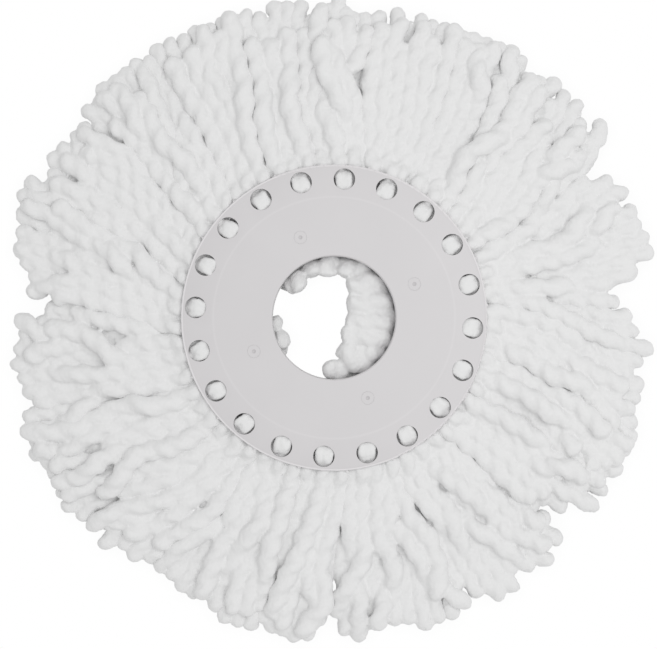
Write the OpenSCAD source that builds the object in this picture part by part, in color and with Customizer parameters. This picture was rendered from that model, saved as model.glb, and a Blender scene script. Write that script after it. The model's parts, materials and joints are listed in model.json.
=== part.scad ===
// Round head of a spin mop: a two-part moulded plate that grips a ring of folded yarn bundles.
// The head lies yarn down on a floor at z = 0, with the plate's axis on Z and its top facing up.
// Each bundle is drawn in two stretches: the fold that the plate grips, and the tail that swings.

/* [Plate] */
// Diameter of the top plate
plate_d = 160; // [132:1:200]
// Thickness of the top plate's wall
plate_t = 2.4; // [1.6:0.2:4]
// Diameter of the centre hole that the handle's hub plugs into
hub_hole_d = 64.4; // [50:0.2:78]
// Thickness of the collar that hangs from the centre hole's edge
collar_wall = 2.2; // [1.6:0.2:3]
// Radius that rounds the centre hole's upper edge
hub_edge_r = 0.8; // [0.4:0.1:1.4]
// Width of the sloping band that carries the yarn holes
band_w = 17; // [16:0.5:22]
// How far the band falls from its inner edge to the rim
band_drop = 1.8; // [0:0.2:3]
// Thickness of the rounded bead along the rim
rim_bead_d = 1.2; // [0.8:0.2:2]
// How far each rim tooth stands out past the plate
tooth_out = 0.9; // [0.4:0.1:1.2]
// Width of a rim tooth where it leaves the plate
tooth_w = 2.6; // [1.5:0.1:4]

/* [Yarn holes] */
// Number of yarn bundles, with one hole, post and tail each
bundle_count = 20; // [16:1:20]
// Diameter of a yarn hole
yarn_hole_d = 11.2; // [8:0.2:13.4]
// Wall left between a yarn hole and the plate's edge
hole_edge_wall = 1.9; // [1.6:0.1:3]

/* [Clamp ring] */
// Thickness of the clamp ring's floor
ring_t = 2; // [1.2:0.2:3]
// Height of the yarn chamber between the clamp ring's floor and the plate
chamber_h = 7.5; // [6:0.5:12]
// Thickness of the walls that divide the chamber
divider_t = 1.6; // [1.2:0.2:2.4]
// Diameter of the post that pushes each fold up into its hole
post_d = 5; // [3:0.5:6]
// Number of melted pegs that hold the plate and the clamp ring together
peg_count = 4; // [3:1:6]
// Diameter of a peg where it passes through the plate
peg_d = 3.4; // [2.5:0.1:4.5]
// Diameter of a peg's flattened head
peg_head_d = 6.6; // [5.5:0.1:8]

/* [Yarn] */
// Distance from the head's axis to the ends of the tails
reach_r = 170; // [140:1:210]
// Thickness of the yarn that lies under the clamp ring
cushion_h = 12; // [8:0.5:20]
// Thickness of a tail where it leaves the plate
tail_root_t = 18; // [12:0.2:21.6]
// Thickness of a tail at its end
tail_tip_t = 9; // [6:0.5:12]
// Steepest slope, down or up, that a tail's middle line swings to
swing_angle = 75; // [30:1:78]
// How far the bare well under the centre hole lies from the axis
well_offset = 12; // [6:0.5:14]

/* [Hidden] */
$fn = 96;
eps = 0.01;             // overlap that makes a cut or a join clean
gap = 0.3;              // play between pieces that aren't joined
touch = 0.05;           // play round a peg and under the plate, where pieces are pressed together

pitch = 360 / bundle_count;
plate_r = plate_d / 2;
hub_r = hub_hole_d / 2;
hole_circle_r = plate_r - hole_edge_wall - yarn_hole_d / 2;
band_in_r = plate_r - band_w;
band_out_r = plate_r - rim_bead_d / 2;

bead_proud = 0.25;                          // how far the rim's bead stands above the band
lip_drop = 0.4;                             // how far the rim hangs below the plate's underside

ring_z = cushion_h;                         // underside of the clamp ring and of the collar
ring_top_z = ring_z + ring_t;
land_under_z = ring_top_z + chamber_h;      // underside of the plate's flat land
land_z = land_under_z + plate_t;            // top of the plate's flat land
rim_under_z = land_under_z - band_drop;
rim_z = land_z - band_drop;

tail_root_r = tail_root_t / 2;
tail_tip_r = tail_tip_t / 2;
tail_in_r = plate_r - 1;                    // a tail's round inner end reaches in under the rim
bend_r = tail_in_r + tail_root_r;           // radius of the line that a tail swings about
bend_z = rim_under_z - 7.7;                 // height of that line
fold_tail_gap = 0.5;

fold_out_r = tail_in_r - fold_tail_gap;     // outside of the gripped stretch of a bundle
wrap_t = 2.7;                               // yarn that turns down over the clamp ring's edge
ring_out_r = fold_out_r - wrap_t - gap;
ring_in_r = hub_r + collar_wall + gap;
ring_wall_t = 2;
stop_in_r = hole_circle_r - 18.5;           // wall that closes the yarn chamber inwards
stop_out_r = stop_in_r + ring_wall_t;
post_top_z = rim_under_z - 0.5;

peg_circle_r = (ring_in_r + ring_wall_t + stop_in_r) / 2;
peg_shoulder_d = 6.4;
peg_head_t = 0.8;
peg_dimple_r = 1.3;

cushion_in_r = ring_in_r + 5.3;             // inner edge of the yarn under the clamp ring
tuck_h = 9;                                 // thickness of the loose ends under the centre hole
well_r = hub_r - 9.2;                       // bare well that the loose ends leave open
fold_seam = 0.4;                            // angle left between neighbouring folds, in degrees

// The fold's dome is a cap of a sphere: it fills the hole and stands a little proud of the band.
dome_r = yarn_hole_d / 2 - 0.5;
dome_rise = 2.2;
dome_base_z = rim_z - 0.6;
dome_sphere_r = (dome_r * dome_r + dome_rise * dome_rise) / (2 * dome_rise);
dome_shift = 0.4;                           // the fold sits this much towards the axis

// A tail is as wide as its neighbours leave it when all of them hang at the steepest angle.
half_pitch_slope = tan(pitch / 2);
tail_side_gap = 0.55;
tail_in_half_w = tail_in_r * half_pitch_slope - tail_side_gap;
tail_flare = 0.92 * half_pitch_slope * cos(swing_angle);

NUMBERS = [for (i = [1:bundle_count]) i < 10 ? str("0", i) : str(i)];

// Direction of a bundle, of the divider that follows it, and of a peg
function bundle_angle(i) = (i + 0.5) * pitch;
function divider_angle(i) = i * pitch;
function peg_angle(i) = i * 360 / peg_count;

// Points on an arc, for outlines with a round stretch
function arc(centre, r, from, to, steps = 8) = [
    for (s = [0:steps])
        let (a = from + (to - from) * s / steps)
        centre + r * [cos(a), sin(a)]
];

// Angle of the line between two centres, and the turn from it to where a straight line touches both circles
function line_of(c1, c2) = atan2(c2[1] - c1[1], c2[0] - c1[0]);
function touch_turn(c1, r1, c2, r2) = acos((r1 - r2) / norm(c2 - c1));

// Repeats its children at the yarn holes, at the dividers or at the pegs
module at_bundles(r) {
    for (i = [0:bundle_count - 1])
        rotate([0, 0, bundle_angle(i)])
            translate([r, 0, 0])
                children();
}

module at_dividers() {
    for (i = [0:bundle_count - 1])
        rotate([0, 0, divider_angle(i)])
            children();
}

module at_pegs() {
    for (i = [0:peg_count - 1])
        rotate([0, 0, peg_angle(i)])
            translate([peg_circle_r, 0, 0])
                children();
}

// Half section of the top plate: collar, flat land and sloping band
module plate_section() {
    polygon(concat(
        [[hub_r, ring_z]],
        arc([hub_r + hub_edge_r, land_z - hub_edge_r], hub_edge_r, 180, 90),
        [
            [band_in_r, land_z],
            [band_out_r, rim_z],
            [band_out_r, rim_under_z],
            [band_in_r, land_under_z],
            [hub_r + collar_wall, land_under_z],
            [hub_r + collar_wall, ring_z]
        ]
    ));
    translate([band_out_r, rim_z - rim_bead_d / 2 + bead_proud])
        circle(d = rim_bead_d, $fn = 32);
    translate([plate_r - rim_bead_d, rim_under_z - lip_drop])
        square([rim_bead_d, plate_t + lip_drop - rim_bead_d / 2 + bead_proud]);
}

// Everything below the plate's underside, which trims what is pressed against it
module space_under_plate(play) {
    rotate_extrude()
        polygon([
            [0, -eps],
            [bend_r, -eps],
            [bend_r, rim_under_z - play],
            [band_out_r, rim_under_z - play],
            [band_in_r, land_under_z - play],
            [0, land_under_z - play]
        ]);
}

module rim_tooth() {
    translate([plate_r - 0.3, 0, rim_under_z + 0.2])
        linear_extrude(plate_t - 0.6)
            polygon([[0, -tooth_w / 2], [tooth_out + 0.3, 0], [0, tooth_w / 2]]);
}

module top_plate() {
    color([0.86, 0.845, 0.85])
    difference() {
        union() {
            rotate_extrude()
                plate_section();
            at_dividers()
                rim_tooth();
        }
        at_bundles(hole_circle_r)
            translate([0, 0, ring_top_z])
                cylinder(d = yarn_hole_d, h = land_z - ring_top_z + 1);
        at_pegs() {
            translate([0, 0, land_under_z - 1])
                cylinder(d = peg_d + 2 * touch, h = plate_t + 2);
            translate([0, 0, land_z - peg_head_t])
                cylinder(d = peg_head_d + 2 * touch, h = peg_head_t + 1);
        }
    }
}

// Wall between two bundles, widened and lengthened by the play asked for
module divider(play = 0) {
    translate([stop_in_r + ring_wall_t / 2, -divider_t / 2 - play, ring_top_z - eps])
        cube([
            fold_out_r - stop_in_r - ring_wall_t / 2 - 0.5 + play,
            divider_t + 2 * play,
            land_under_z
        ]);
}

module ring_wall(in_r) {
    translate([0, 0, ring_z])
        difference() {
            cylinder(r = in_r + ring_wall_t, h = land_under_z - ring_z);
            translate([0, 0, -1])
                cylinder(r = in_r, h = land_under_z - ring_z + 2);
        }
}

module ring_floor() {
    translate([0, 0, ring_z])
        difference() {
            cylinder(r = ring_out_r, h = ring_t);
            translate([0, 0, -1])
                cylinder(r = ring_in_r, h = ring_t + 2);
        }
}

// Shoulder under the plate, shank through it, and a flattened head with a dimple
module peg() {
    translate([0, 0, ring_z])
        cylinder(d = peg_shoulder_d, h = land_under_z - ring_z);
    translate([0, 0, land_under_z - eps])
        cylinder(d = peg_d, h = plate_t - peg_head_t + 2 * touch);
    difference() {
        translate([0, 0, land_z - peg_head_t + touch])
            cylinder(d = peg_head_d, h = peg_head_t - touch);
        translate([0, 0, land_z + peg_dimple_r * 0.55])
            sphere(r = peg_dimple_r, $fn = 48);
    }
}

module clamp_ring() {
    color([0.83, 0.82, 0.825])
    union() {
        ring_floor();
        intersection() {
            union() {
                ring_wall(ring_in_r);
                ring_wall(stop_in_r);
                at_dividers()
                    divider();
            }
            space_under_plate(touch);
        }
        at_bundles(hole_circle_r)
            translate([0, 0, ring_z])
                cylinder(d = post_d, h = post_top_z - ring_z);
        at_pegs()
            peg();
    }
}

// Loose ends that lie under the centre hole, thick on one side and leaving a bare well
module tucked_yarn() {
    color([0.94, 0.94, 0.945])
    difference() {
        cylinder(r = cushion_in_r - gap, h = tuck_h);
        translate([-well_offset, 0, -1])
            cylinder(r = well_r, h = tuck_h + 2);
    }
}

// Half section of a gripped fold: chamber above, wrap over the ring's edge, cushion below
module fold_section() {
    polygon([
        [cushion_in_r, 0],
        [fold_out_r, 0],
        [fold_out_r, rim_under_z - touch],
        [stop_out_r + gap, rim_under_z - touch],
        [stop_out_r + gap, ring_top_z + touch],
        [ring_out_r + gap, ring_top_z + touch],
        [ring_out_r + gap, ring_z - touch],
        [cushion_in_r, ring_z - touch]
    ]);
}

// Yarn pushed up through the hole, rounded on top
module fold_dome() {
    translate([hole_circle_r - dome_shift, 0, 0]) {
        translate([0, 0, ring_top_z + 1])
            cylinder(r = dome_r, h = dome_base_z - ring_top_z - 1 + eps);
        intersection() {
            translate([0, 0, dome_base_z + dome_rise - dome_sphere_r])
                sphere(r = dome_sphere_r);
            translate([0, 0, dome_base_z])
                cylinder(r = dome_r, h = dome_rise + 1);
        }
    }
}

module bundle_fold(i) {
    color([0.95, 0.95, 0.955])
    rotate([0, 0, bundle_angle(i)])
        difference() {
            union() {
                rotate([0, 0, -(pitch - fold_seam) / 2])
                    rotate_extrude(angle = pitch - fold_seam)
                        fold_section();
                fold_dome();
            }
            for (side = [-1, 1])
                rotate([0, 0, side * pitch / 2])
                    divider(touch);
            translate([hole_circle_r, 0, ring_z])
                cylinder(d = post_d + 2 * touch, h = post_top_z - ring_z + touch);
        }
}

// Side view of a tail: round about its bend line, straight to a thinner round end on the floor
module tail_side() {
    bend = [bend_r, bend_z];
    tip = [reach_r - tail_tip_r, tail_tip_r];
    lean = line_of(bend, tip);
    turn = touch_turn(bend, tail_root_r, tip, tail_tip_r);
    polygon(concat(
        arc(bend, tail_root_r, lean + turn, lean - turn + 360, 24),
        arc(tip, tail_tip_r, lean - turn, lean + turn, 12)
    ));
}

// Top view of a tail: a slightly flaring strip
module tail_top() {
    length = reach_r - tail_in_r;
    out_half_w = tail_in_half_w + tail_flare * length;
    polygon([
        [tail_in_r, -tail_in_half_w],
        [reach_r, -out_half_w],
        [reach_r, out_half_w],
        [tail_in_r, tail_in_half_w]
    ]);
}

module bundle_tail(i) {
    color([0.97, 0.97, 0.975])
    rotate([0, 0, bundle_angle(i)])
        intersection() {
            translate([0, reach_r / 2, 0])
                rotate([90, 0, 0])
                    linear_extrude(reach_r)
                        tail_side();
            translate([0, 0, -1])
                linear_extrude(bend_z + tail_root_r + 2)
                    tail_top();
        }
}

top_plate();
clamp_ring();
tucked_yarn();
for (i = [0:bundle_count - 1])
    bundle_fold(i);
for (i = [0:bundle_count - 1])
    bundle_tail(i);
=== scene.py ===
"""The looks of a spin mop refill: a holed plate, its clamp ring and twenty bundles of fluffy two-ply yarn.

The yarn is laid strand by strand. Each strand starts where it is held between plate and ring and is combed
outwards, and then all the strands settle on each other under their own weight. Lengths are in metres and
angles in radians, unless a comment says mm or degrees.
"""

import json
import math

import bmesh
import bpy
import numpy as np
from mathutils import Euler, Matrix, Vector, kdtree


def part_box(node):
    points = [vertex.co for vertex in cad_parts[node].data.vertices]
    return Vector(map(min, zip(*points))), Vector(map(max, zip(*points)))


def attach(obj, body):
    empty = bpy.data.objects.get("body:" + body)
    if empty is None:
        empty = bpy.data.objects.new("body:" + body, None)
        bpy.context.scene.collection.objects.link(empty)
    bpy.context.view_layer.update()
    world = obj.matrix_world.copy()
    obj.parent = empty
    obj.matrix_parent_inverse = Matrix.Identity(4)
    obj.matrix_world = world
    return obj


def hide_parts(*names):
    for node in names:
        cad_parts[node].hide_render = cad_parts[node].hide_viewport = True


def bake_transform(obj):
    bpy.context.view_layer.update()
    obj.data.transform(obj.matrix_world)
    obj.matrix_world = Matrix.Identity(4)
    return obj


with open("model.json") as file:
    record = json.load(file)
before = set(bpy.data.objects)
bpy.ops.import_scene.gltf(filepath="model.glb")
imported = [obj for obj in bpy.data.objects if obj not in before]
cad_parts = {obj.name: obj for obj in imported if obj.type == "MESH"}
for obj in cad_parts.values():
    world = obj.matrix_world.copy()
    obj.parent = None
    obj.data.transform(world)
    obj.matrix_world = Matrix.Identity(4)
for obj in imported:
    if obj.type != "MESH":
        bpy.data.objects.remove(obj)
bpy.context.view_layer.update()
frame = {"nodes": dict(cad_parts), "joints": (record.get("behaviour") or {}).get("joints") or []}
random = np.random.default_rng(20)

# ---------------------------------------------------------------- the frame's own sizes

MM = 0.001
plate_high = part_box("top_plate")[1]
plate_r = plate_high.x - 0.9 * MM
plate_top = plate_high.z
rim_z = plate_top - 1.8 * MM
rim_under = rim_z - 2.4 * MM
band_r = plate_r - 17 * MM  # where the sloping band begins
hinges = {joint["child"]: Vector(joint["pos_m"]) for joint in frame["joints"]}
tails = sorted(hinges)
bundle_count = len(tails)
bundle_step = math.tau / bundle_count
bundle_angles = [math.atan2(hinges[tail].y, hinges[tail].x) for tail in tails]
hole_circle_r = 72.5 * MM  # the ring of yarn holes

# ---------------------------------------------------------------- the yarn

REACH_MIDDLE = 120 * MM  # halfway along the fringe
YARN_R = 4.8 * MM  # half the width of a loose strand
PLY_BULGE = 0.12  # how far the two plies swell out of a round section
TWIST = 23 * MM  # length of one turn of the two plies
COLUMNS = 3  # strands side by side where a bundle leaves the plate
BASE_ROWS = 3  # layers of the dense yarn below
BASE_STRANDS = COLUMNS * BASE_ROWS
TOP_STRANDS = 3  # looser strands that lie on top of a bundle
PER_BUNDLE = BASE_STRANDS + TOP_STRANDS
POINTS = 38  # points along a strand while it settles
EXIT_R = plate_r + 1 * MM
HELD_R = plate_r + 3 * MM  # inside this radius the plate holds the yarn
BASE_THICKNESS = 8.1 * MM  # how close the dense strands lie
TOP_THICKNESS = 10.0 * MM  # and the loose ones on top
LOWEST = 0.1 * MM  # the yarn is pressed flat where it lies on the floor
BEDDING = 1.6 * MM  # how far a loose strand sinks in between the dense ones
FRINGE_R = 165 * MM  # about where the tips lie
HALF_OUT = 35 * MM  # from the rim to where the halfway lean holds
TIPS_OUT = 75 * MM  # and to where the lean at the tips holds
EXIT_LOW, EXIT_RISE = 4.2, 4.0  # height of the lowest layer at the rim and of each next one above it, in mm
HELD_LOW, HELD_RISE = 3.4, 4.2  # the same where the plate holds the lower layers, in mm
HELD_UPPER, HELD_UPPER_RISE = 15.4, 1.0  # and where it holds the upper ones, in mm

# How the strands settle, at each step.
SINK = 0.25 * MM
HOMING = 0.015  # share of the way back to where a strand was combed
STIFFNESS = 0.35
SHOVE = 1.2  # how strongly strands that are too close push apart
SEARCH_EVERY = 12  # steps between searches for strands that touch

# The folds that show in the holes.
FOLD_SIDES = (-2.1 * MM, 0.3 * MM, 2.5 * MM)
FOLD_GIRTH = 0.52
FOLD_HALF_SPAN = 4.4  # in mm
FOLD_RISE = 4.9 * MM
FOLD_FOOT = 3 * MM  # how far under the rim a fold begins

# How each bundle lies: how far it is combed off the straight line outwards where it leaves the plate,
# halfway and at its tips, in degrees anticlockwise, and how far out from the middle its tips reach, in mm.
COMBED = (
    (24, 20, 18, 169),
    (17, 12, 17, 171),
    (20, 11, 2, 168),
    (18, 3, -8, 163),
    (8, -13, -18, 168),
    (-14, -10, 0, 173),
    (-22, -6, 6, 173),
    (-32, -13, 10, 178),
    (-20, -22, -8, 176),
    (-10, -6, -2, 173),
    (10, -14, -10, 176),
    (18, -22, -18, 167),
    (15, -2, 2, 168),
    (-16, -8, -4, 171),
    (-6, -4, -8, 172),
    (15, 7, 7, 173),
    (20, 5, -1, 168),
    (0, -11, -18, 171),
    (-14, -20, -34, 166),
    (10, 0, 14, 175),
)
# Places where the fringe parts: angle and half the width of the gap, in degrees, and how far the tips
# fall short, in mm.
PARTINGS = ((152.5, 4.5, 22), (297, 4.5, 16), (338, 5, 22))


def around(values, angle):
    """The value at this angle of a quantity given at equal steps round the plate."""
    spots = np.arange(len(values)) * 360 / len(values)
    return np.interp(np.degrees(angle) % 360, spots, values, period=360)


def hump(angle, middle, width):
    """1 at the middle angle (in degrees), falling smoothly to 0 beyond the width."""
    off = (np.degrees(angle) - middle + 180) % 360 - 180
    return np.exp(-((off / width) ** 2))


def combed(column, bundle, angle):
    """A column of COMBED at this angle: partly the bundle's own, partly a blend with its neighbours'."""
    values = [row[column] for row in COMBED]
    return 0.3 * values[bundle] + 0.7 * around(values, angle - bundle_angles[0])


def turned_by(radii, leans):
    """The angle that a strand has gone round the plate at each of these radii, for its lean there."""
    return np.concatenate(([0], np.cumsum(np.tan(leans[1:]) * np.diff(radii) / radii[1:])))


def planned_strand(bundle, place):
    """Points of one strand before it settles: held under the plate, then combed out towards its tip."""
    top = place >= BASE_STRANDS
    row = BASE_ROWS if top else place // COLUMNS
    column = place % COLUMNS
    upper = row >= 2
    across = (column + 0.25 + 0.5 * (row % 2)) / COLUMNS - 0.5 + random.uniform(-0.07, 0.07)
    angle = bundle_angles[bundle] + across * bundle_step
    exit_z = (EXIT_LOW + EXIT_RISE * row) * MM + random.uniform(-0.4, 0.4) * MM
    start_r = random.uniform(60, 66) * MM if upper else random.uniform(42, 66) * MM
    start_z = (HELD_UPPER + HELD_UPPER_RISE * (row - 2) if upper else HELD_LOW + HELD_RISE * row) * MM
    stray = random.normal(0, 4 if top else 7)
    leans = [math.radians(combed(part, bundle, angle) + stray * (0.6 + 0.4 * part)) for part in range(3)]
    zones = (EXIT_R, EXIT_R + HALF_OUT, EXIT_R + TIPS_OUT)
    guess = np.linspace(start_r, FRINGE_R, POINTS)
    swept = angle + turned_by(guess, np.where(guess > EXIT_R, np.interp(guess, zones, leans), 0))[-1]
    tip_r = combed(3, bundle, swept) * MM - abs(random.normal(0, 4)) * MM
    for middle, width, short in PARTINGS:
        tip_r -= short * MM * hump(swept, middle, width)
    if top:
        tip_r -= random.uniform(-2, 14) * MM
    radii = np.linspace(start_r, tip_r, POINTS)
    leans = np.where(radii > EXIT_R, np.interp(radii, zones, leans), 0)
    out = np.clip((radii - EXIT_R) / (FRINGE_R - EXIT_R), 0, 1)
    wave = random.uniform(38, 65) * MM
    sway = random.uniform(0.8, 1.8) * MM * np.sin(math.tau * radii / wave + random.uniform(0, math.tau))
    sway += 2.4 * MM * np.sin(math.tau * radii / (52 * MM) + 2.1 * bundle)
    spread = angle + turned_by(radii, leans) + sway * np.minimum(1, out * 5) / radii
    nearly_out = start_z if upper else exit_z
    inside = np.interp(radii, (start_r, EXIT_R - 4 * MM, EXIT_R), (start_z, nearly_out, exit_z))
    outside = exit_z * (1 - 0.55 * out) + 2 * MM * out + (4 if top else 0) * MM * np.minimum(1, out * 12)
    height = np.where(radii < EXIT_R, inside, outside)
    return np.column_stack((radii * np.cos(spread), radii * np.sin(spread), height))


def touching(points, owner, reach):
    """Index pairs of points of different strands that lie closer together than reach."""
    tree = kdtree.KDTree(len(points))
    for index, point in enumerate(points):
        tree.insert(point, index)
    tree.balance()
    first, second = [], []
    for index, point in enumerate(points):
        for _, other, _ in tree.find_range(point, reach):
            if other > index and owner[other] != owner[index]:
                first.append(index)
                second.append(other)
    return np.array(first), np.array(second)


def settle(paths, steps):
    """Lets the strands sink, push each other aside and keep their length, until they lie on each other."""
    strands, count = paths.shape[:2]
    plan = paths.copy()
    owner = np.repeat(np.arange(strands), count)
    radius = np.linalg.norm(plan[..., :2], axis=2)
    free = (radius > HELD_R)[..., None]
    free[:, 0] = False
    loose = owner % PER_BUNDLE >= BASE_STRANDS
    full = np.where(loose, TOP_THICKNESS, BASE_THICKNESS)
    thickness = full * np.interp(radius.reshape(-1), (HELD_R, HELD_R + 22 * MM), (0.75, 1))
    links = np.linalg.norm(np.diff(plan, axis=1), axis=2, keepdims=True)
    pairs = None
    for step in range(steps):
        moved = paths.copy()
        moved[..., 2] -= SINK
        moved[..., :2] += HOMING * (plan - moved)[..., :2]
        bend = np.zeros_like(moved)
        bend[:, 1:-1] = (moved[:, 2:] + moved[:, :-2]) / 2 - moved[:, 1:-1]
        moved += STIFFNESS * bend
        flat = moved.reshape(-1, 3)
        if step % SEARCH_EVERY == 0:
            pairs = touching(flat, owner, TOP_THICKNESS + 0.5 * MM)
        one, two = pairs
        gap = flat[one] - flat[two]
        distance = np.maximum(np.linalg.norm(gap, axis=1), 0.1 * MM)
        unlike = loose[one] != loose[two]
        wanted = (thickness[one] + thickness[two]) / 2 - BEDDING * unlike
        push = np.maximum(wanted - distance, 0)[:, None] * gap / distance[:, None] / 2
        pushed = push[:, 0] != 0
        hits = np.bincount(one, pushed, len(flat)) + np.bincount(two, pushed, len(flat))
        for axis in range(3):
            amount = push[:, axis]
            shove = np.bincount(one, amount, len(flat)) - np.bincount(two, amount, len(flat))
            flat[:, axis] += SHOVE * shove / np.maximum(hits, 1)
        for _ in range(2):
            link = np.diff(moved, axis=1)
            length = np.linalg.norm(link, axis=2, keepdims=True)
            stretch = (length - links) * link / length / 2
            moved[:, :-1] += stretch
            moved[:, 1:] -= stretch
        moved[..., 2] = np.maximum(moved[..., 2], YARN_R)
        paths = np.where(free, moved, plan)
    return paths


def strand_profile():
    """The cross-section of a two-ply strand, as a closed curve in its own object."""
    sides = 16
    curve = bpy.data.curves.new("two_ply_section", "CURVE")
    spline = curve.splines.new("POLY")
    spline.points.add(sides - 1)
    spline.use_cyclic_u = True
    for side, point in enumerate(spline.points):
        angle = -math.tau * side / sides
        size = YARN_R * (1 - PLY_BULGE / 2 + PLY_BULGE * math.cos(2 * angle))
        point.co = (size * math.cos(angle), size * math.sin(angle), 0, 1)
    section = bpy.data.objects.new("two_ply_section", curve)
    bpy.context.scene.collection.objects.link(section)
    return section


def strand_curve(curve, path, girth, turned):
    """Adds one twisted strand along a path, with a girth (1 is full width) at each of its points."""
    spline = curve.splines.new("NURBS")
    spline.points.add(len(path) - 1)
    spline.order_u = 4
    spline.use_endpoint_u = True
    spline.resolution_u = 3
    along = np.concatenate(([0], np.cumsum(np.linalg.norm(np.diff(path, axis=0), axis=1))))
    twist = TWIST * random.uniform(0.85, 1.2)
    for place, point in enumerate(spline.points):
        point.co = (*path[place], 1)
        point.radius = girth[place]
        point.tilt = turned + math.tau * along[place] / twist


def yarn_mesh(name, strands, section):
    """One mesh of all these (path, girth) strands, with their surface fluffed up."""
    curve = bpy.data.curves.new(name, "CURVE")
    curve.dimensions = "3D"
    curve.bevel_mode = "OBJECT"
    curve.bevel_object = section
    curve.use_fill_caps = True
    for path, girth in strands:
        strand_curve(curve, path, girth, random.uniform(0, math.tau))
    guide = bpy.data.objects.new(name + "_guide", curve)
    bpy.context.scene.collection.objects.link(guide)
    bpy.context.view_layer.update()
    mesh = bpy.data.meshes.new_from_object(guide.evaluated_get(bpy.context.evaluated_depsgraph_get()))
    bpy.data.objects.remove(guide)
    piece = bpy.data.objects.new(name, mesh)
    bpy.context.scene.collection.objects.link(piece)
    matted = piece.modifiers.new("matted", "REMESH")
    matted.mode = "VOXEL"
    matted.voxel_size = 0.8 * MM
    matted.use_smooth_shade = True
    soft = piece.modifiers.new("soft", "SMOOTH")
    soft.factor = 0.5
    soft.iterations = 1
    for texture, height in ((tufts, 0.8 * MM), (fluff, 0.6 * MM)):
        modifier = piece.modifiers.new(texture.name, "DISPLACE")
        modifier.texture = texture
        modifier.strength = height
        modifier.mid_level = 0.5
    apply_modifiers(piece)
    spots = np.empty(3 * len(piece.data.vertices))
    piece.data.vertices.foreach_get("co", spots)
    spots[2::3] = np.maximum(spots[2::3], LOWEST)
    piece.data.vertices.foreach_set("co", spots)
    return piece


def clouds(name, size, depth):
    """A soft procedural texture that modifiers push a surface in and out with."""
    texture = bpy.data.textures.new(name, "CLOUDS")
    texture.noise_scale = size
    texture.noise_depth = depth
    return texture


def apply_modifiers(piece):
    """Replaces a piece's mesh by what its modifiers make of it."""
    bpy.context.view_layer.update()
    made = bpy.data.meshes.new_from_object(piece.evaluated_get(bpy.context.evaluated_depsgraph_get()))
    piece.modifiers.clear()
    piece.data = made


def round_tip(path, rounding):
    """The path with extra points close to its tip, and how much of its girth it keeps at each point."""
    link = np.linalg.norm(np.diff(path, axis=0), axis=1)
    along = np.concatenate(([0], np.cumsum(link)))
    ends = along[-1] - rounding * np.array((1, 0.75, 0.5, 0.25, 0.08, 0))
    stations = np.concatenate((along[along < ends[0] - rounding / 4], ends))
    points = np.column_stack([np.interp(stations, along, path[:, axis]) for axis in range(3)])
    share = np.minimum((along[-1] - stations) / rounding, 1)
    return points, np.sqrt(np.maximum(1 - (1 - share) ** 2, 0.01))


def whole_strand(path, base):
    """A settled path made ready for its yarn: squeezed at the plate, a little uneven, with a round tip."""
    points, tip = round_tip(path, YARN_R)
    radius = np.linalg.norm(points[:, :2], axis=1)
    zones = (EXIT_R - 5 * MM, EXIT_R - 1 * MM, EXIT_R + 12 * MM)
    squeezed = np.interp(radius, zones, (0.5, 0.88, 1.0 if base else 1.12))
    uneven = 1 + 0.05 * np.sin(radius / (random.uniform(2.5, 4.5) * MM) + random.uniform(0, math.tau))
    return points, squeezed * uneven * tip


def arch(bundle, side, back):
    """The short arched strand that shows in a hole, where the bundle is folded over."""
    angle = bundle_angles[bundle]
    outwards = Vector((math.cos(angle), math.sin(angle), 0))
    across = Vector((-outwards.y, outwards.x, 0))
    middle = outwards * (hole_circle_r - back) + across * side
    run = (outwards + across * random.uniform(-0.25, 0.25)).normalized()
    path = []
    for place in range(9):
        turn = math.pi * place / 8
        along = -run * FOLD_HALF_SPAN * MM * math.cos(turn)
        rise = Vector((0, 0, rim_under - FOLD_FOOT + FOLD_RISE * math.sin(turn)))
        path.append(middle + along + rise)
    return np.array(path)


tufts = clouds("tufts", 4 * MM, 1)
fluff = clouds("fluff", 1.6 * MM, 1)
section = strand_profile()
home = np.repeat(np.arange(bundle_count), PER_BUNDLE)
places = [(bundle, place) for bundle in range(bundle_count) for place in range(PER_BUNDLE)]
plans = np.array([planned_strand(bundle, place) for bundle, place in places])
settled = settle(plans, 240)
bundles = []
for number, tail in enumerate(tails):
    own = enumerate(settled[home == number])
    strands = [whole_strand(path, place < BASE_STRANDS) for place, path in own]
    back = random.uniform(1.0, 1.9) * MM
    for side in FOLD_SIDES:
        path = arch(number, side, back)
        strands.append((path, np.full(len(path), FOLD_GIRTH)))
    piece = yarn_mesh(f"yarn_bundle_{number + 1:02d}", strands, section)
    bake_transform(piece)
    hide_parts(f"bundle_fold_{number + 1:02d}", f"bundle_tail_{number + 1:02d}")
    bundles.append(piece)

# ---------------------------------------------------------------- loose ends under the middle

# Each loose end, as seen from above with the bare side of the hole on the left: the direction it comes from
# under the plate, in degrees, where its tip lies, in mm, and its girth.
LOOSE_ENDS = (
    (28, 7, 16, 1.2),
    (12, 6, 8, 1.15),
    (-3, 6, -1, 1.15),
    (-17, 3, -8, 1.1),
    (-33, 16, -17, 1.1),
    (-52, 3, -14, 1.4),
    (-74, -4, -23, 1.1),
    (45, 11, 25, 1.1),
    (68, 4, 21.5, 1.2),
    (90, -4, 21.5, 1.2),
    (110, -11, 22, 1.1),
    (131, -16, 15, 1.25),
    (192, -29, -3, 1.0),
    (206, -26, -10, 1.1),
)
LOOSE_ROOT_R = 44 * MM
LOOSE_TOP = 11 * MM  # a loose end stays below this until it is clear of the clamp ring
HUB_EDGE_R = 33 * MM  # inside this radius a loose end is free
LOOSE_RISE = 8 * MM  # how far it then springs up into the hub hole
LOOSE_RISE_RUN = 8 * MM  # and over what length
VIEW_TURN = math.radians(-22.75)  # how far the mop is turned under the camera


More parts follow.
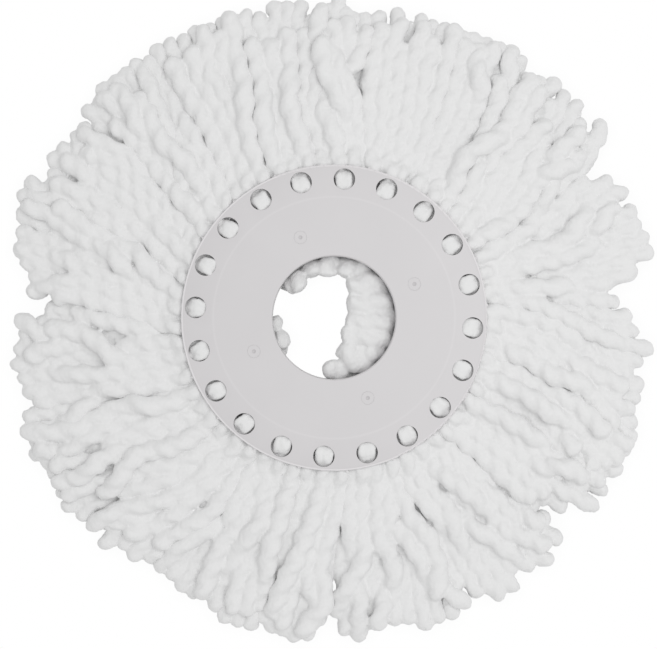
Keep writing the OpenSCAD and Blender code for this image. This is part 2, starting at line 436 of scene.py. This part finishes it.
def loose_strand(direction, tip_x, tip_y, level, slip):
    """A loose end under the plate, pointing to the middle. The lower ones slip sideways and further back."""
    turn = math.radians(direction + slip) + VIEW_TURN
    root = Vector((math.cos(turn), math.sin(turn), 0)) * LOOSE_ROOT_R
    tip = Vector((tip_x * MM, tip_y * MM, 0))
    tip.rotate(Euler((0, 0, VIEW_TURN)))
    tip = tip.lerp(root, 0.012 * abs(slip))
    wave = random.uniform(0, math.tau)
    path = []
    for place in range(14):
        share = place / 13
        spot = root.lerp(tip, share)
        side = Vector((-spot.y, spot.x, 0)).normalized()
        spot += side * 0.7 * MM * math.sin(wave + 5 * share)
        freed = min(1, max(0, (HUB_EDGE_R - spot.xy.length) / LOOSE_RISE_RUN))
        spot.z = level + LOOSE_RISE * (1 - math.cos(math.pi * freed)) / 2
        path.append(spot)
    return np.array(path)


ends = []
for lower, slip in ((2.6 * MM, 9), (0, 0)):
    for direction, tip_x, tip_y, girth in LOOSE_ENDS:
        height = LOOSE_TOP - YARN_R * girth - lower - random.uniform(0, 0.6) * MM
        path, tip = round_tip(loose_strand(direction, tip_x, tip_y, height, slip), YARN_R * 0.6)
        ends.append((path, tip * girth))
loose_ends = yarn_mesh("loose_ends", ends, section)
bpy.data.objects.remove(section)
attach(loose_ends, "plate")
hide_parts("tucked_yarn")

# ---------------------------------------------------------------- the plate


def merged_copy(name, node):
    """A copy of a CAD node as one welded mesh, with its flats as single faces."""
    bm = bmesh.new()
    bm.from_mesh(frame["nodes"][node].data)
    bmesh.ops.remove_doubles(bm, verts=bm.verts, dist=0.001 * MM)
    bmesh.ops.dissolve_limit(bm, angle_limit=0.01, verts=bm.verts, edges=bm.edges)
    mesh = bpy.data.meshes.new(name)
    bm.to_mesh(mesh)
    bm.free()
    piece = bpy.data.objects.new(name, mesh)
    bpy.context.scene.collection.objects.link(piece)
    return piece


def soften(piece, width):
    """Rounds a moulding's sharp edges and smooths the rest."""
    bevel = piece.modifiers.new("moulded_edges", "BEVEL")
    bevel.width = width
    bevel.segments = 2
    bevel.limit_method = "ANGLE"
    bevel.angle_limit = math.radians(40)
    bevel.use_clamp_overlap = True
    apply_modifiers(piece)
    piece.data.shade_smooth()
    smooth = piece.modifiers.new("smooth", "WEIGHTED_NORMAL")
    smooth.keep_sharp = True
    apply_modifiers(piece)


plate = merged_copy("plate_moulding", "top_plate")
soften(plate, 0.25 * MM)
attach(plate, "plate")
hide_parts("top_plate")

# ---------------------------------------------------------------- materials


class Value:
    """A socket's value, so that shader maths reads as plain expressions."""

    def __init__(self, finish, socket):
        self.finish = finish
        self.socket = socket

    def math(self, operation, *others):
        return self.finish.add("ShaderNodeMath", {"operation": operation}, self, *others)

    def __add__(self, other):
        return self.math("ADD", other)

    def __sub__(self, other):
        return self.math("SUBTRACT", other)

    def __mul__(self, other):
        return self.math("MULTIPLY", other)


class Finish:
    """One material, built up around its Principled shader."""

    def __init__(self, name, **constants):
        self.material = bpy.data.materials.new(name)
        self.material.use_nodes = True
        self.nodes = self.material.node_tree.nodes
        self.links = self.material.node_tree.links
        self.shader = self.nodes["Principled BSDF"]
        for socket, constant in constants.items():
            self.shader.inputs[socket.replace("_", " ")].default_value = constant

    def add(self, kind, settings, *inputs, output=0, **named):
        """Adds a node: its settings, then its inputs in order or by name, as constants or as values."""
        node = self.nodes.new(kind)
        for setting, choice in settings.items():
            setattr(node, setting, choice)
        for key, value in [*enumerate(inputs), *named.items()]:
            self.feed(node.inputs[key.replace("_", " ") if isinstance(key, str) else key], value)
        return Value(self, node.outputs[output])

    def feed(self, socket, value):
        """Gives a socket a constant or links it to a value."""
        if isinstance(value, Value):
            self.links.new(value.socket, socket)
        else:
            socket.default_value = value

    def noise(self, place, scale, detail=2.0, roughness=0.5):
        """Smooth noise from 0 to 1 at a place."""
        settings = {"Vector": place, "Scale": scale, "Detail": detail, "Roughness": roughness}
        return self.add("ShaderNodeTexNoise", {}, **settings)

    def mix(self, share, first, second):
        """A colour between two colours."""
        node = self.add("ShaderNodeMix", {"data_type": "RGBA"}, share, output=2)
        self.feed(node.socket.node.inputs[6], first)
        self.feed(node.socket.node.inputs[7], second)
        return node

    def bump(self, height, depth, strength=1.0):
        """Feeds the shader's normal from a height."""
        normal = self.add("ShaderNodeBump", {}, Strength=strength, Distance=depth, Height=height)
        self.feed(self.shader.inputs["Normal"], normal)

    def set(self, socket, value):
        """Gives one of the shader's own inputs a constant or a value."""
        self.feed(self.shader.inputs[socket], value)


def grey(level, warmth=0.0):
    """A near-neutral colour: positive warmth leans to cream, negative to cool white."""
    return (level + warmth, level, level - warmth, 1)


def rosy(level):
    """The plastic's off-white, a touch pinker than grey."""
    return (level * 1.01, level * 0.987, level * 1.0, 1)


def from_middle(finish, spot):
    """A spot's x, y and z, and its distance from the line through the plate's middle."""
    split = finish.add("ShaderNodeSeparateXYZ", {}, spot).socket.node
    x, y, z = (Value(finish, socket) for socket in split.outputs)
    return x, y, z, (x * x + y * y).math("SQRT")


def outward_place(finish, spot, fine, coarse):
    """A place for patterns that run outwards from the middle: fine across that way, coarse along it."""
    x, y, z, radius = from_middle(finish, spot)
    across = y.math("ARCTAN2", x) * (fine * REACH_MIDDLE)
    return finish.add("ShaderNodeCombineXYZ", {}, across, radius * coarse, z * fine)


def yarn_finish():
    """Fluffy microfibre: fine fibres along the plies, small tufts, and painted shade that greys the valleys
    a little.
    """
    yarn = Finish(
        "yarn_microfibre", Roughness=0.95, Sheen_Weight=0.15, Sheen_Roughness=0.6, Specular_IOR_Level=0.1
    )
    spot = yarn.add("ShaderNodeTexCoord", {}, output=3)
    tufting = yarn.noise(spot, 420, 3, 0.6)
    fibres = yarn.noise(outward_place(yarn, spot, 1400, 160), 1, 3, 0.6)
    shade = yarn.noise(spot, 28, 2)
    light = yarn.mix(shade, grey(0.88, -0.002), grey(0.92, 0.0))
    strands = yarn.mix(tufting * fibres, grey(0.82), light)
    # painted shade: the ambient occlusion mask darkens the base colour towards grey 0.85 in the valleys and
    # tight places between strands
    painted_shade_mask = yarn.add("ShaderNodeAmbientOcclusion", {"samples": 8}, Distance=10 * MM, output=1)
    yarn.set("Base Color", yarn.mix(painted_shade_mask, grey(0.85), strands))
    yarn.bump(tufting * 0.7 + fibres * 0.3, 0.5 * MM, 0.5)
    return yarn.material


def plastic_finish(name, level, roughness):
    """Satin moulded plastic: faint flow marks, a very fine skin, a few hair scratches, painted highlights on
    the rim and on the band's edge, and painted shade in crevices.
    """
    plastic = Finish(name, Specular_IOR_Level=0.4)
    spot = plastic.add("ShaderNodeTexCoord", {}, output=3)
    flow = plastic.noise(spot, 35, 3)
    skin = plastic.noise(spot, 2600, 2)
    stretched = plastic.add("ShaderNodeMapping", {}, Vector=spot, Scale=(60, 2200, 60), Rotation=(0, 0, 0.6))
    scratches = plastic.noise(stretched, 1, 2)
    worn = plastic.add("ShaderNodeMapRange", {}, scratches, 0.68, 0.8, 0.0, 1.0)
    base = plastic.mix(flow, rosy(level - 0.02), rosy(level + 0.02))
    wear_and_painted_highlight = plastic.mix(worn * 0.3, base, rosy(level + 0.06))
    radius = from_middle(plastic, spot)[3]
    # painted highlight: a light line along the rim's edge and a fainter one where the sloping band begins,
    # on top of the scratch wear
    rim = plastic.add("ShaderNodeMapRange", {}, radius, plate_r - 1.3 * MM, plate_r - 0.9 * MM, 0.0, 1.0)
    off_edge = (radius - band_r).math("ABSOLUTE")
    band_edge = plastic.add("ShaderNodeMapRange", {}, off_edge, 0.0, 0.9 * MM, 1.0, 0.0)
    wear_and_painted_highlight = plastic.mix(rim * 0.75 + band_edge * 0.2, wear_and_painted_highlight, rosy(level + 0.14))
    # painted shade: the ambient occlusion mask darkens the base colour in crevices, recesses and at hole
    # edges
    painted_shade_mask = plastic.add("ShaderNodeAmbientOcclusion", {"samples": 8}, Distance=1.6 * MM, output=1)
    plastic.set("Base Color", plastic.mix(painted_shade_mask, rosy(level - 0.3), wear_and_painted_highlight))
    plastic.set("Roughness", flow * 0.12 + (roughness - 0.06) + worn * 0.1)
    plastic.bump(skin * 0.6 + worn * 0.4, 0.03 * MM, 0.35)
    return plastic.material


def dress(piece, material):
    """Gives a piece one material all over."""
    piece.data.materials.clear()
    piece.data.materials.append(material)


yarn = yarn_finish()
for piece in (*bundles, loose_ends):
    dress(piece, yarn)
for name, node in frame["nodes"].items():
    if name.startswith("bundle") or name == "tucked_yarn":
        dress(node, yarn)
plate_plastic = plastic_finish("plate_satin_plastic", 0.675, 0.42)
dress(plate, plate_plastic)
dress(frame["nodes"]["top_plate"], plate_plastic)
dress(frame["nodes"]["clamp_ring"], plastic_finish("ring_satin_plastic", 0.68, 0.5))

# ---------------------------------------------------------------- floor, light and camera

VIEW_SIZE = 342.2 * MM  # width of the view, at the height of the plate's top
VIEW_MIDDLE = (-2.92 * MM, -3.54 * MM)  # the view's middle from the plate's, to the right and up
CAMERA_HEIGHT = 1.0
FLOOR_R = 0.45
DOME_STRENGTH = 0.66
BACKDROP_STRENGTH = 1.0
LAMP_SIZE = 0.7
LAMP_ENERGY = 3.45
LAMP_HEIGHT = 1.05
LAMP_ASIDE = 0.3
LAMP_TURN = VIEW_TURN + math.radians(10)


def pale_floor():
    """A pale floor with a painted contact shade close to the yarn, which bounces light like white paper.

    It is clear from below, so that yarn hanging lower than the floor stays lit.
    """
    bm = bmesh.new()
    bmesh.ops.create_circle(bm, cap_ends=True, segments=96, radius=FLOOR_R)
    bmesh.ops.translate(bm, verts=bm.verts, vec=(0, 0, -0.2 * MM))
    mesh = bpy.data.meshes.new("floor")
    bm.to_mesh(mesh)
    bm.free()
    floor = bpy.data.objects.new("floor", mesh)
    bpy.context.scene.collection.objects.link(floor)
    finish = Finish("pale_floor", Roughness=1.0)
    finish.shader.inputs["Base Color"].default_value = grey(0.95)
    # painted contact shade: ambient occlusion tints the see-through floor slightly grey near the yarn
    opening = finish.add("ShaderNodeAmbientOcclusion", {"samples": 8}, Distance=8 * MM, output=1)
    painted_contact_shade = finish.mix(opening, grey(0.95), grey(1.0))
    see_through = finish.add("ShaderNodeBsdfTransparent", {}, painted_contact_shade)
    seen = finish.add("ShaderNodeLightPath", {}, output=0)
    from_below = finish.add("ShaderNodeNewGeometry", {}, output=6)
    clear = seen.math("MAXIMUM", from_below)
    both = finish.add("ShaderNodeMixShader", {}, clear, Value(finish, finish.shader.outputs[0]), see_through)
    finish.links.new(both.socket, finish.nodes["Material Output"].inputs[0])
    dress(floor, finish.material)


def studio():
    """A bright even dome, pure white behind the mop, and one large soft lamp."""
    world = bpy.data.worlds.new("studio")
    bpy.context.scene.world = world
    world.use_nodes = True
    nodes, links = world.node_tree.nodes, world.node_tree.links
    dome = nodes["Background"]
    dome.inputs["Color"].default_value = grey(1.0)
    dome.inputs["Strength"].default_value = DOME_STRENGTH
    backdrop = nodes.new("ShaderNodeBackground")
    backdrop.inputs["Color"].default_value = grey(1.0)
    backdrop.inputs["Strength"].default_value = BACKDROP_STRENGTH
    path = nodes.new("ShaderNodeLightPath")
    mix = nodes.new("ShaderNodeMixShader")
    links.new(path.outputs["Is Camera Ray"], mix.inputs[0])
    links.new(dome.outputs[0], mix.inputs[1])
    links.new(backdrop.outputs[0], mix.inputs[2])
    links.new(mix.outputs[0], nodes["World Output"].inputs[0])
    lamp = bpy.data.lights.new("soft_lamp", "AREA")
    lamp.shape = "DISK"
    lamp.size = LAMP_SIZE
    lamp.energy = LAMP_ENERGY
    key = bpy.data.objects.new("soft_lamp", lamp)
    key.location = (LAMP_ASIDE * math.cos(LAMP_TURN), LAMP_ASIDE * math.sin(LAMP_TURN), LAMP_HEIGHT)
    key.rotation_euler = (-key.location).to_track_quat("-Z", "Y").to_euler()
    key.visible_camera = False
    bpy.context.scene.collection.objects.link(key)


def camera():
    """Straight down on the plate."""
    data = bpy.data.cameras.new("camera")
    data.sensor_width = 36
    data.lens = data.sensor_width * CAMERA_HEIGHT / VIEW_SIZE
    eye = bpy.data.objects.new("camera", data)
    right = Vector((math.cos(VIEW_TURN), math.sin(VIEW_TURN), 0))
    up = Vector((-right.y, right.x, 0))
    eye.location = right * VIEW_MIDDLE[0] + up * VIEW_MIDDLE[1] + Vector((0, 0, plate_top + CAMERA_HEIGHT))
    eye.rotation_euler = (0, 0, VIEW_TURN)
    bpy.context.scene.collection.objects.link(eye)
    bpy.context.scene.camera = eye


pale_floor()
studio()
camera()
bpy.context.scene.view_settings.view_transform = "Standard"
